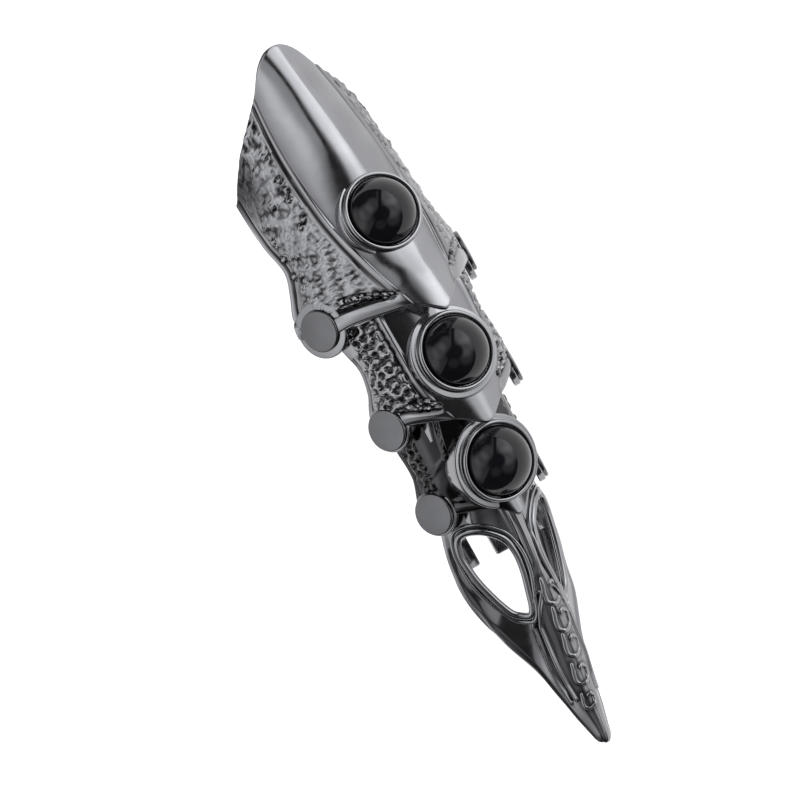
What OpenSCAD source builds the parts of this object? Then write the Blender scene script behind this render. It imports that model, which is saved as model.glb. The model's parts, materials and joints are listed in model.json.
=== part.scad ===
// Articulated armor ring: four cast plates riveted in a chain, from the knuckle to a clawed tip.
// Each plate is drawn with +X toward the claw's tip, +Z up through the back of the finger, and its
// origin on its own outer hinge axis. The whole chain is then laid on its right flank.

/* [Chain] */
// Distance along the finger from the first hinge to the second
second_step_x = 14.9; // [13.5:0.1:16.5]
// Rise of the second hinge over the first
second_step_z = -0.5; // [-1:0.1:0]
// Distance along the finger from the second hinge to the third
third_step_x = 12; // [11:0.1:13]
// Rise of the third hinge over the second
third_step_z = -3.5; // [-4:0.1:-3]

/* [Metal] */
// Thickness of the cast plates
wall = 0.9; // [0.8:0.05:1.1]
// Height of the raised border lines
border_h = 0.35; // [0.1:0.05:0.5]
// Height of the rolled rims
rim_h = 0.25; // [0.1:0.05:0.4]

/* [Hinges] */
// Lean of the rivet heads and lugs away from the hinge axis, in degrees
lean = 26; // [20:1:30]
// Distance from the middle of the first hinge to the middle of its rivet head
knuckle_half_w = 11.9; // [11.5:0.1:12.5]
// Distance from the middle of the second hinge to the middle of its rivet head
second_half_w = 10.2; // [9.9:0.1:10.6]
// Distance from the middle of the third hinge to the middle of its rivet head
third_half_w = 8.5; // [8.3:0.1:8.9]
// Radius of a rivet head
head_r = 2.75; // [2.4:0.05:3]
// Thickness of a rivet head
head_h = 0.6; // [0.5:0.05:0.8]
// Radius of a rivet's shank
shank_r = 0.8; // [0.6:0.05:1]
// Radius of the round end of the knuckle plate's lugs
knuckle_lug_r = 3.7; // [3.3:0.1:4]
// Radius of the round end of the other lugs
small_lug_r = 3; // [2.9:0.1:3.2]
// Radius of the round end of an ear
ear_r = 2.3; // [2:0.1:2.5]
// Thickness of an ear
ear_h = 0.8; // [0.6:0.05:0.9]
// Gap between a lug and the ear that it hides
ear_gap = 0.6; // [0.5:0.05:0.8]

/* [Settings] */
// Outer radius of a bezel's rolled rim
bezel_r = 5.2; // [5:0.05:5.4]
// Radius of the step round the foot of a bezel
step_r = 6; // [5.7:0.05:6.2]
// Radius of a stone
stone_r = 4.5; // [4.3:0.05:4.6]
// Height of a stone's dome over its girdle
dome_h = 3.5; // [2.5:0.1:4]

/* [Bands] */
// Inner radius of the finger band
finger_r = 8.7; // [8.2:0.1:8.8]
// Width of the finger band
finger_band_w = 6; // [4:0.5:7]
// Inner radius of the fingertip band
tip_r = 6.4; // [6.2:0.1:6.6]
// Width of the fingertip band
tip_band_w = 4.6; // [4:0.1:5]
// Gap between the two ends of each split band
split_gap = 3; // [2:0.1:4]
// Thickness of both bands
band_wall = 1; // [0.8:0.1:1.2]

/* [Resting pose] */
// Roll of the ring onto its right flank, in degrees
rest_roll = 44.8; // [0:0.1:60]
// Pitch of the ring as it lies, in degrees
rest_pitch = -1.4; // [-10:0.1:10]
// Height of the first hinge's middle over the floor
rest_h = 11.987; // [0:0.001:20]
// Distance of the first hinge's middle behind the middle of the ring's box
rest_back = 14.22; // [0:0.01:30]
// Distance of the first hinge's middle from the middle of the ring's box, across the finger
rest_side = 1.39; // [-10:0.01:10]

/* [Hidden] */
$fn = 64;

// Running clearance round a shank
play = 0.06;
// Clearance between the underside of a rivet's head and its seat
head_gap = 0.03;
// Length of the cut over a head's seat
seat_h = 3;
// Length of the cuts that pass right through the ring
through = 90;
lug_h = 0.9;
// How far the ears of the second and third hinges are set in, beyond their gap, to meet their plates
second_sink = 1.5;
third_sink = 0.7;
// How far a lug's root is set in at the top, and how far below the hinge it ends
root_tuck = 1;
// Rounded edge of a rivet head
head_round = 0.5;
second_pivot = [second_step_x, 0, second_step_z];
third_pivot = second_pivot + [third_step_x, 0, third_step_z];
metal = "DimGray";
gem = "Black";

// Columns of a plate's section table, after the section's place along the finger. The crest is the ridge
// on the mirror plane, the border divides blade and flank, and the rim is the edge.
CREST_Z = 1;
BORDER_Y = 2;
BORDER_Z = 3;
RIM_Y = 4;
RIM_Z = 5;
BLADE_SWELL = 6;
FLANK_SWELL = 7;

// Columns of a plate's edge table, after the share of the way from crest to rim: where the plate starts
// and ends there
START_X = 1;
END_X = 2;

knuckle_sections = [
    [-35, 3.5, 4.2, 1.4, 9.2, -5.0, 0.5, 0.4],
    [-29.5, 5.2, 5.0, 2.0, 10.0, -5.0, 0.5, 0.4],
    [-24, 6.6, 5.8, 2.8, 10.8, -5.0, 0.5, 0.5],
    [-18.7, 7.7, 6.2, 3.8, 11.0, -4.8, 0.5, 0.7],
    [-12.5, 8.0, 6.2, 5.2, 11.0, -3.8, 0.4, 0.8],
    [-8.5, 8.1, 5.8, 6.2, 10.7, -2.9, 0.4, 1.0],
    [-5.5, 8.7, 5.3, 7.2, 11.5, -3.1, 0.4, 1.1],
    [-3, 9.4, 4.8, 8.0, 12.4, -3.6, 0.3, 1.2],
    [0, 10.4, 4.1, 9.1, 12.9, -3.8, 0.2, 1.1],
    [6, 11.4, 2.5, 10.6, 12.9, -3.8, 0.2, 1.0]
];
knuckle_edges = [
    [0, -34.3, 5.6],
    [0.15, -33.8, 4.9],
    [0.3, -32.3, 3.9],
    [0.45, -29.5, 3.0],
    [0.7, -25, 1.6],
    [0.9, -21, 1.4],
    [1, -18.7, -0.3]
];
second_sections = [
    [-15, 7.4, 6.0, 5.7, 9.3, -2.0, 0.3, 1.2],
    [-11.8, 7.4, 6.1, 5.8, 9.1, -2.0, 0.3, 1.3],
    [-8.1, 7.3, 6.0, 5.7, 8.2, -2.0, 0.3, 1.3],
    [-5, 7.0, 5.9, 5.6, 8.8, -2.0, 0.3, 1.3],
    [-3.2, 6.9, 5.7, 5.5, 9.7, -2.3, 0.3, 1.2],
    [0, 6.8, 4.9, 5.5, 10.9, -2.9, 0.2, 0.9],
    [6, 6.7, 2.5, 5.9, 10.9, -2.9, 0.2, 0.7]
];
second_edges = [
    [0, -12.9, 5.6],
    [0.15, -13, 5.0],
    [0.45, -13.2, 3.0],
    [0.7, -13.4, 0.9],
    [0.85, -13.5, 0.7],
    [1, -13.5, -0.3]
];
third_sections = [
    [-12, 6.7, 5.0, 5.2, 7.6, -2.0, 0.3, 1.0],
    [-9, 6.6, 5.0, 5.0, 7.4, -2.0, 0.3, 1.1],
    [-5.2, 6.3, 5.1, 4.7, 7.3, -2.0, 0.3, 1.1],
    [-2.7, 5.9, 4.9, 4.4, 8.2, -2.2, 0.3, 1.0],
    [0, 5.6, 4.1, 4.3, 9.1, -2.9, 0.2, 0.7],
    [5.5, 5.2, 1.8, 4.5, 9.1, -2.9, 0.2, 0.5]
];
third_edges = [
    [0, -10.2, 5.5],
    [0.15, -10.3, 5.0],
    [0.45, -10.5, 3.0],
    [0.7, -10.7, 1.4],
    [0.85, -10.8, 1.3],
    [1, -10.8, -0.3]
];
claw_sections = [
    [-1, 4.1, 1.7, 3.5, 6.2, -2.4, 0.3, 0.9],
    [4, 3.7, 1.4, 2.8, 7.8, -3.4, 0.3, 0.9],
    [8, 2.9, 1.2, 2.0, 8.0, -4.8, 0.3, 0.8],
    [11.5, 2.1, 1.3, 1.0, 7.6, -5.5, 0.3, 0.6],
    [15, 1.0, 1.9, -0.3, 6.9, -5.6, 0.35, 0.2],
    [19, -0.3, 2.4, -1.7, 5.7, -5.6, 0.35, -0.3],
    [23.5, -1.6, 2.4, -3.1, 3.9, -5.6, 0.35, -0.3],
    [28.3, -2.9, 2.0, -4.3, 2.7, -5.7, 0.3, 0],
    [32.8, -4.0, 1.2, -4.9, 1.6, -5.8, 0.2, 0],
    [35.7, -4.8, 0.7, -5.1, 0.9, -5.8, 0.1, 0]
];
claw_edges = [
    [0, 0.6, 35.7],
    [0.5, 0.4, 35.6],
    [1, 0.2, 35.2]
];

// Depths of a bezel below its rim: the cup's floor, the step round it, and its foot
cup_depth = 1.7;
step_drop = 1.1;
foot_depth = 6;
// Gap between a stone and its cup
cup_gap = 0.1;
// Foot and girdle of a stone, from the bezel's rim
stone_foot_z = -1.65;
girdle_z = -0.4;
// Radius of the hollow under the bezels
finger_bore_r = 9.5;

// Height of the hollow's roof under each bezel
knuckle_roof_z = 6.6;
second_roof_z = 5.9;
third_roof_z = 4.8;

// Each band's rear edge, the height of its middle and the height at which it ends in the flanks
finger_band_at = [-18, -2.6, -0.6];
tip_band_at = [3.8, -3.5, -3.6];

// Where each bezel stands on its plate: along the finger, the height of its rim, and its lean to the tip
knuckle_bezel = [-9.3, 8.8, -6];
second_bezel = [-4.5, 8.2, 1.5];
third_bezel = [-1.8, 7.1, 13];

function mix(a, b, k) = a + (b - a) * k;
function unit(v) = v / norm(v);

// Slope of one column at a row, for a smooth curve through the rows
function slope(rows, i, c) =
    let (a = max(i - 1, 0), b = min(i + 1, len(rows) - 1))
    (rows[b][c] - rows[a][c]) / (rows[b][0] - rows[a][0]);

function row_before(rows, x, i = 0) =
    i >= len(rows) - 2 || x < rows[i + 1][0] ? i : row_before(rows, x, i + 1);

// Value of one column at x, on a smooth curve through the rows
function curve(rows, x, c) =
    let (
        i = row_before(rows, x),
        w = rows[i + 1][0] - rows[i][0],
        k = min(max((x - rows[i][0]) / w, 0), 1)
    )
    rows[i][c] * (1 + 2 * k) * (1 - k) * (1 - k)
    + rows[i + 1][c] * k * k * (3 - 2 * k)
    + slope(rows, i, c) * w * k * (1 - k) * (1 - k)
    - slope(rows, i + 1, c) * w * k * k * (1 - k);

// Point on a bowed line from a to b, swelling to its left by the given height at the middle
function bowed(a, b, swell, k) =
    let (d = unit(b - a), side = [-d[1], d[0]])
    mix(a, b, k) + side * swell * 4 * k * (1 - k);

// Share of the half section that the blade takes
BLADE = 0.45;

// Shares of the half section that the border line and the rolled rim take
line_share = 0.05;
rim_share = 0.06;
// Waves of the hammered flank along a plate and across half of it
dents_along = 7.2;
dents_across = 8.6;

// Direction from which the claw's windows look plain, in degrees over the flank's side
window_lean = 26;
// Outline of the claw's left window: along the finger, and across it as seen in that direction
window_outline = [
    [4.0, -5.2], [4.9, -3.2], [6.8, -1.5], [8.8, -1.1], [11.2, -1.35], [13.7, -1.9], [15.6, -2.4],
    [16.5, -3.0], [16.2, -3.9], [15.3, -4.9], [13.6, -5.6], [11.3, -6.2], [8.8, -6.7], [6.4, -6.9],
    [4.5, -6.4]
];
frame_r = 0.5;
bar_sides = 6;
// Point inside the window from which its frame is set out
window_middle = [10, -4];
frame_sink = 0.05;
// Lean of the frame's outward side, in degrees over the flank's side
frame_lean = 40;
// Depth from which a window is cut, measured from the hinge along the window's direction, and the
// length of the cut
window_cut_from = -3.5;
window_cut_h = 9;
claw_length = claw_edges[0][2];

// Row of scrolls on the claw's crest. Each has its middle, along the claw and across the crest, and its
// share of the largest one's size.
scrolls = [[15.5, 0.47, 1], [19.2, 0.47, 0.95], [22.6, 0.42, 0.9], [26.3, 0, 0.82], [29.8, -0.4, 0.6]];
// Stroke of the largest scroll from its middle
scroll_stroke = [
    [-2.2, -0.8], [-1.2, -0.85], [0, -1], [1.1, -0.9], [1.6, -0.25], [1.25, 0.6], [0.35, 1],
    [-0.6, 1.05], [-1.15, 0.65], [-1.05, 0.15], [-0.5, 0]
];
scroll_r = 0.34;

// Point on a plate's skin: along runs from start to end, across from the crest (0) to the rim (1)
function skin(sections, edges, along, across) =
    let (
        x = mix(curve(edges, across, START_X), curve(edges, across, END_X), along),
        crest = [0, curve(sections, x, CREST_Z)],
        border = [curve(sections, x, BORDER_Y), curve(sections, x, BORDER_Z)],
        rim = [curve(sections, x, RIM_Y), curve(sections, x, RIM_Z)],
        p = across < BLADE
            ? bowed(crest, border, curve(sections, x, BLADE_SWELL), across / BLADE)
            : bowed(border, rim, curve(sections, x, FLANK_SWELL), (across - BLADE) / (1 - BLADE))
    )
    [x, p[0], p[1]];

// Outward direction of the skin
function outward(sections, edges, along, across) =
    let (
        e = 0.01,
        a0 = max(along - e, 0), a1 = min(along + e, 1),
        b0 = max(across - e, 0), b1 = min(across + e, 1),
        u = skin(sections, edges, a1, across) - skin(sections, edges, a0, across),
        v = skin(sections, edges, along, b1) - skin(sections, edges, along, b0)
    )
    unit(cross(u, v));

function bump(d, w) = abs(d) < w ? 0.5 + 0.5 * cos(180 * d / w) : 0;

// Raised border line, rolled rims and hammered flank of a plate
function relief(along, across, hammer) =
    border_h * bump(across - BLADE, line_share)
    + rim_h * bump(1 - across, rim_share)
    + rim_h * bump(1 - along, line_share)
    + (across > BLADE + rim_share && across < 1 - rim_share && along < 1 - rim_share
        ? hammer * sin(along * dents_along * 360) * sin(across * dents_across * 360) : 0);

// Lines across half a section, closer together beside the border line and the rim
across_steps = concat(
    [0, 0.1, 0.2, 0.3, 0.4, 0.425, 0.45, 0.475, 0.5],
    [for (i = [1:6]) 0.5 + i * 0.073],
    [0.97, 1]
);
claw_steps = concat([0, 0.1, 0.2, 0.3, 0.4, 0.45, 0.5], [for (i = [1:5]) 0.5 + i * 0.09], [1]);
// Lines along a plate, closer together beside its outer rim
function along_steps(n) = concat([for (i = [0:n - 1]) i * 0.94 / (n - 1)], [0.965, 1]);

// Closed shell over a grid of rows along and columns across, from left rim to right rim
module shell(outer, inner) {
    rows = len(outer);
    cols = len(outer[0]);
    n = rows * cols;
    points = concat([for (r = outer) for (p = r) p], [for (r = inner) for (p = r) p]);
    faces = concat(
        [for (i = [0:rows - 2]) for (j = [0:cols - 2])
            for (f = [[0, 1, cols + 1], [0, cols + 1, cols]]) [for (k = f) i * cols + j + k]],
        [for (i = [0:rows - 2]) for (j = [0:cols - 2])
            for (f = [[0, cols + 1, 1], [0, cols, cols + 1]]) [for (k = f) n + i * cols + j + k]],
        [for (i = [0:rows - 2]) for (a = [i * cols])
            for (f = [[a, a + cols, n + a + cols], [a, n + a + cols, n + a]]) f],
        [for (i = [0:rows - 2]) for (a = [i * cols + cols - 1])
            for (f = [[a, n + a + cols, a + cols], [a, n + a, n + a + cols]]) f],
        [for (j = [0:cols - 2])
            for (f = [[j, n + j + 1, j + 1], [j, n + j, n + j + 1]]) f],
        [for (j = [0:cols - 2]) for (a = [(rows - 1) * cols + j])
            for (f = [[a, a + 1, n + a + 1], [a, n + a + 1, n + a]]) f]
    );
    polyhedron(points, faces);
}

// Plate from its tables, mirrored about the middle of the finger
module plate(sections, edges, rows, hammer, half = across_steps) {
    signed = concat([for (i = [len(half) - 1:-1:1]) -half[i]], half);
    function place(a, t, lift) =
        let (
            b = abs(t),
            q = skin(sections, edges, a, b) + lift * outward(sections, edges, a, b)
        )
        b < 0.001 ? [q[0], 0, q[2]] : [q[0], t < 0 ? -q[1] : q[1], q[2]];
    outer = [for (a = along_steps(rows)) [for (t = signed) place(a, t, relief(a, abs(t), hammer))]];
    inner = [for (a = along_steps(rows)) [for (t = signed) place(a, t, -wall)]];
    shell(outer, inner);
}

// Puts a flat piece on the leaning plane at distance d from the middle of a hinge, on its right side.
// The piece's own +Y then points down the flank, and its +Z outward.
module on_flank(d) {
    rotate([lean - 90, 0, 0]) translate([0, 0, d]) children();
}

module both_sides() {
    children();
    mirror([0, 1, 0]) children();
}

// Distances from the hinge's middle to the faces of head, lug and ear, along the leaning direction
function head_top(half_w) = half_w * cos(lean);
function lug_top(half_w) = head_top(half_w) - head_h;
function ear_top(half_w, sink) = lug_top(half_w) - lug_h - ear_gap - sink;

// Outer lug of a plate, round at its free end and joined to the flank behind it
module lug(half_w, r, reach) {
    on_flank(lug_top(half_w) - lug_h)
        translate([0, half_w * sin(lean), 0])
            linear_extrude(lug_h) {
                circle(r);
                polygon([[0, -r], [-reach, root_tuck - r], [-reach, root_tuck], [-root_tuck, 0.9 * r]]);
            }
}

// Inner ear of a plate, round at the hinge and joined to the flank ahead of it
module ear(half_w, reach, sink = 0) {
    d = ear_top(half_w, sink);
    on_flank(d - ear_h)
        translate([0, d * tan(lean), 0])
            linear_extrude(ear_h) {
                circle(ear_r);
                polygon([[0, -ear_r], [reach, -ear_r / 2], [reach, ear_r / 8], [0, ear_r]]);
            }
}

// Hole through both lugs or both ears of a hinge
module shank_hole() {
    rotate([90, 0, 0]) cylinder(r = shank_r + play, h = through, center = true);
}

// Flat seats for both heads of a hinge, cut into the skin
module head_seats(half_w) {
    both_sides()
        on_flank(lug_top(half_w))
            translate([0, half_w * sin(lean), 0]) cylinder(r = head_r + play, h = seat_h);
}

// Rivet with a broad head that leans with the flank and a shank along the hinge axis
module rivet(half_w, sink = 0) {
    inner_y = (ear_top(half_w, sink) - ear_h) / cos(lean) - head_round;
    outer_y = (lug_top(half_w) + head_h / 2) / cos(lean);
    color(metal) {
        translate([0, outer_y, 0])
            rotate([90, 0, 0]) cylinder(r = shank_r, h = outer_y - inner_y);
        on_flank(lug_top(half_w) + head_gap)
            translate([0, half_w * sin(lean), 0])
                rotate_extrude()
                    polygon([
                        [0, 0], [head_r, 0], [head_r, head_h - 0.5 * head_round],
                        [head_r - 0.4 * head_round, head_h - 0.1 * head_round],
                        [head_r - head_round, head_h], [0, head_h]
                    ]);
    }
}

// Puts a piece in the middle of a bezel's rim
module at_bezel(place) {
    translate([place[0], 0, place[1]]) rotate([0, place[2], 0]) children();
}

// Bezel with a step, a wall and a rolled rim, cut away below roof_z where the finger passes
module bezel(place, roof_z) {
    wall_r = stone_r + cup_gap;
    roll_r = (bezel_r - wall_r) / 2;
    difference() {
        at_bezel(place)
            rotate_extrude() {
                polygon([
                    [0, -foot_depth], [step_r, -foot_depth], [step_r, -step_drop - cup_gap],
                    [step_r - cup_gap, -step_drop], [bezel_r - cup_gap, -step_drop],
                    [bezel_r - cup_gap, -roll_r], [0, -roll_r]
                ]);
                translate([bezel_r - roll_r, -roll_r]) circle(roll_r, $fn = 24);
            }
        translate([0, 0, roof_z - finger_bore_r])
            rotate([0, 90, 0]) cylinder(r = finger_bore_r, h = through, center = true);
    }
}

// Space that a bezel leaves for its stone
module cup(place) {
    at_bezel(place) translate([0, 0, -cup_depth]) cylinder(r = stone_r + cup_gap, h = 2 * dome_h);
}

// Domed stone on the floor of its bezel cup
module stone(place) {
    ball_r = (stone_r * stone_r + dome_h * dome_h) / (2 * dome_h);
    color(gem)
        at_bezel(place)
            rotate_extrude() {
                translate([0, stone_foot_z]) square([stone_r, girdle_z - stone_foot_z]);
                intersection() {
                    translate([0, dome_h - ball_r + girdle_z]) circle(ball_r, $fn = 96);
                    translate([0, girdle_z - 0.01]) square([stone_r, 2 * dome_h]);
                }
            }
}

// Lower part of a band round the finger, split at its lowest point and ending in the flanks
module split_band(inner_r, at, w) {
    x = at[0];
    z = at[1];
    top_z = at[2];
    translate([x, 0, z]) rotate([0, 90, 0])
        difference() {
            cylinder(r = inner_r + band_wall, h = w);
            translate([0, 0, -1]) cylinder(r = inner_r, h = w + 2);
            translate([0, -split_gap / 2, -1]) cube([2 * inner_r, split_gap, w + 2]);
            translate([z - top_z - 4 * inner_r, -2 * inner_r, -1]) cube([4 * inner_r, 4 * inner_r, w + 2]);
        }
}

// Share across the claw at which its left skin is seen at the given place from the window's direction
function share_seen(x, place, low = 0, high = 1, left = 14) =
    let (m = (low + high) / 2, p = skin(claw_sections, claw_edges, x / claw_length, m))
    left == 0 ? m
    : p[2] * sin(window_lean) - p[1] * cos(window_lean) > place
        ? share_seen(x, place, m, high, left - 1)
        : share_seen(x, place, low, m, left - 1);

// Round bar along a path, closed into a ring or capped at both ends. One of its edges faces out.
module bar(path, r, out, ring) {
    n = len(path);
    points = [for (i = [0:n - 1])
        let (
            next = ring ? (i + 1) % n : min(i + 1, n - 1),
            before = ring ? (i + n - 1) % n : max(i - 1, 0),
            ahead = unit(path[next] - path[before]),
            lift = unit(out - ahead * (ahead * out)),
            across = cross(ahead, lift)
        )
        for (k = [0:bar_sides - 1])
            let (turn = k * 360 / bar_sides)
            path[i] + r * (cos(turn) * lift + sin(turn) * across)];
    wall_faces = [for (i = [0:ring ? n - 1 : n - 2]) for (k = [0:bar_sides - 1])
        let (a = i * bar_sides, b = ((i + 1) % n) * bar_sides, m = (k + 1) % bar_sides)
        for (f = [[a + k, b + m, a + m], [a + k, b + k, b + m]]) f];
    end_faces = ring ? [] : [
        [for (k = [0:bar_sides - 1]) k],
        [for (k = [bar_sides - 1:-1:0]) (n - 1) * bar_sides + k]
    ];
    polyhedron(points, concat(wall_faces, end_faces));
}

// Raised frame round the left window, through points set out from the outline on the skin
module window_frame() {
    bar([for (q = window_outline)
        let (
            w = q + 0.7 * frame_r * unit(q - window_middle),
            p = skin(claw_sections, claw_edges, w[0] / claw_length, share_seen(w[0], w[1]))
        )
        [p[0], -p[1], p[2] - frame_sink]], frame_r, [0, -cos(frame_lean), sin(frame_lean)], true);
}

// Opening of the left window, cut straight through the flank
module window_cut() {
    rotate([window_lean, 0, 0])
        translate([0, 0, window_cut_from]) linear_extrude(window_cut_h) polygon(window_outline);
}

// One hooked scroll, lying along the crest
module scroll(at) {
    bar([for (q = scroll_stroke)
        let (
            px = at[0] + q[0] * at[2],
            py = at[1] + q[1] * at[2],
            k = abs(py) / curve(claw_sections, px, BORDER_Y),
            z = mix(curve(claw_sections, px, CREST_Z), curve(claw_sections, px, BORDER_Z), k)
        )
        [px, py, z]], scroll_r * at[2], [0, 0, 1], false);
}

module knuckle_plate() {
    color(metal)
        difference() {
            union() {
                plate(knuckle_sections, knuckle_edges, 30, 0.12);
                bezel(knuckle_bezel, knuckle_roof_z);
                both_sides() lug(knuckle_half_w, knuckle_lug_r, 2.4);
                split_band(finger_r, finger_band_at, finger_band_w);
            }
            cup(knuckle_bezel);
            shank_hole();
            head_seats(knuckle_half_w);
        }
}

module second_plate() {
    color(metal)
        difference() {
            union() {
                plate(second_sections, second_edges, 18, 0.1);
                bezel(second_bezel, second_roof_z);
                both_sides() {
                    lug(second_half_w, small_lug_r, 2.2);
                    translate(-second_pivot) ear(knuckle_half_w, 5);
                }
            }
            cup(second_bezel);
            shank_hole();
            head_seats(second_half_w);
            translate(-second_pivot) shank_hole();
        }
}

module third_plate() {
    color(metal)
        difference() {
            union() {
                plate(third_sections, third_edges, 16, 0);
                bezel(third_bezel, third_roof_z);
                both_sides() {
                    lug(third_half_w, small_lug_r, 2.2);
                    translate(second_pivot - third_pivot) ear(second_half_w, 4, second_sink);
                }
            }
            cup(third_bezel);
            shank_hole();
            head_seats(third_half_w);
            translate(second_pivot - third_pivot) shank_hole();
        }
}

module claw() {
    color(metal)
        difference() {
            union() {
                difference() {
                    plate(claw_sections, claw_edges, 34, 0, claw_steps);
                    both_sides() window_cut();
                }
                both_sides() {
                    window_frame();
                    ear(third_half_w, 3.5, third_sink);
                }
                for (at = scrolls) scroll(at);
                split_band(tip_r, tip_band_at, tip_band_w);
            }
            shank_hole();
        }
}

// The resting pose, with the floor at z = 0 and the middle of the ring's box on the origin
module lying() {
    translate([-rest_back, rest_side, rest_h]) rotate([-rest_roll, rest_pitch, 0]) children();
}

module knuckle_stone() {
    stone(knuckle_bezel);
}

module second_stone() {
    stone(second_bezel);
}

module third_stone() {
    stone(third_bezel);
}

module knuckle_rivet_right() {
    rivet(knuckle_half_w);
}

module knuckle_rivet_left() {
    mirror([0, 1, 0]) knuckle_rivet_right();
}

module second_rivet_right() {
    rivet(second_half_w, second_sink);
}

module second_rivet_left() {
    mirror([0, 1, 0]) second_rivet_right();
}

module third_rivet_right() {
    rivet(third_half_w, third_sink);
}

module third_rivet_left() {
    mirror([0, 1, 0]) third_rivet_right();
}

// The chain as it lies on the floor
lying() knuckle_plate();
lying() translate(second_pivot) second_plate();
lying() translate(third_pivot) third_plate();
lying() translate(third_pivot) claw();
lying() knuckle_stone();
lying() translate(second_pivot) second_stone();
lying() translate(third_pivot) third_stone();
lying() knuckle_rivet_left();
lying() knuckle_rivet_right();
lying() translate(second_pivot) second_rivet_left();
lying() translate(second_pivot) second_rivet_right();
lying() translate(third_pivot) third_rivet_left();
lying() translate(third_pivot) third_rivet_right();
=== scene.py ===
import json
from math import acos, atan2, cos, degrees, pi, radians, sin, sqrt, tan
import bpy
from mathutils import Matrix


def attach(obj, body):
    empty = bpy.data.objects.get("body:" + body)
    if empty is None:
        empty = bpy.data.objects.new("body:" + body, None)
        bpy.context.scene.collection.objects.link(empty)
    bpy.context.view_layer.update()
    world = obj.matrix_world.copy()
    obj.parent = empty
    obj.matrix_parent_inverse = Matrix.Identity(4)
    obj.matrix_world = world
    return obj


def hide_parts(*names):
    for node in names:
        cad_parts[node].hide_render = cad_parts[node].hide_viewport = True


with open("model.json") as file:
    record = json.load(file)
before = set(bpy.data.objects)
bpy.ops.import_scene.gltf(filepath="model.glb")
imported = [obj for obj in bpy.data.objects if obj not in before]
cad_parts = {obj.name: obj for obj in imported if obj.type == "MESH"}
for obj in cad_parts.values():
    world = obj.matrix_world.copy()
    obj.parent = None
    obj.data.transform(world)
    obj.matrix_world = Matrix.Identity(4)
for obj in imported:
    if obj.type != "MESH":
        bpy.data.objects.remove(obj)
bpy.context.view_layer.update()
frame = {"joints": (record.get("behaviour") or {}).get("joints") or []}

from types import SimpleNamespace

import bmesh
import bpy
import numpy as np
from mathutils import Matrix, Vector

# Articulated armor ring: four cast plates, six rivets and three domed stones.
# Everything is drawn in the ring's own frame in millimetres: +X toward the claw's tip, +Z up through the
# back of the finger, the first hinge at the origin. LIE then lays it on its flank as the CAD does.

MM = 0.001

# The ring's own axes, read from the hinges of the frame
SECOND_STEP = (14.9, 0, -0.5)
THIRD_STEP = (12, 0, -3.5)
joints = {j["name"]: j for j in frame["joints"]}
first_at = Vector(joints["knuckle_hinge"]["pos_m"])
second_at = Vector(joints["second_hinge"]["pos_m"])
axis_y = Vector(joints["knuckle_hinge"]["axis"]).normalized()
along_chain = (second_at - first_at).normalized()
chain_up = along_chain.cross(axis_y)
dip = atan2(-SECOND_STEP[2], SECOND_STEP[0])
axis_x = cos(dip) * along_chain + sin(dip) * chain_up
axis_z = -sin(dip) * along_chain + cos(dip) * chain_up
rows = [(axis_x[i] * MM, axis_y[i] * MM, axis_z[i] * MM, first_at[i]) for i in range(3)]
LIE = Matrix(rows + [(0, 0, 0, 1)])
LIE_ARRAY = np.array(LIE)

PIVOT = {
    "knuckle": np.zeros(3),
    "second": np.array(SECOND_STEP, float),
    "third": np.array(SECOND_STEP, float) + np.array(THIRD_STEP, float),
}
PIVOT["claw"] = PIVOT["third"]

# The photograph's projection: scale, the first hinge's pixel, and the directions along and across the finger
PX_PER_MM = 8
HINGE_PX = np.array([390.5, 291.9])
PX_ALONG = np.array([0.488, 0.873])
PX_ACROSS = np.array([0.873, -0.488])
SEEN_Y = 0.9
SEEN_Z = 0.44

PLATES = ("knuckle", "second", "third", "claw")


# One value for each plate in turn
def each(*values):
    return dict(zip(PLATES, values))


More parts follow.
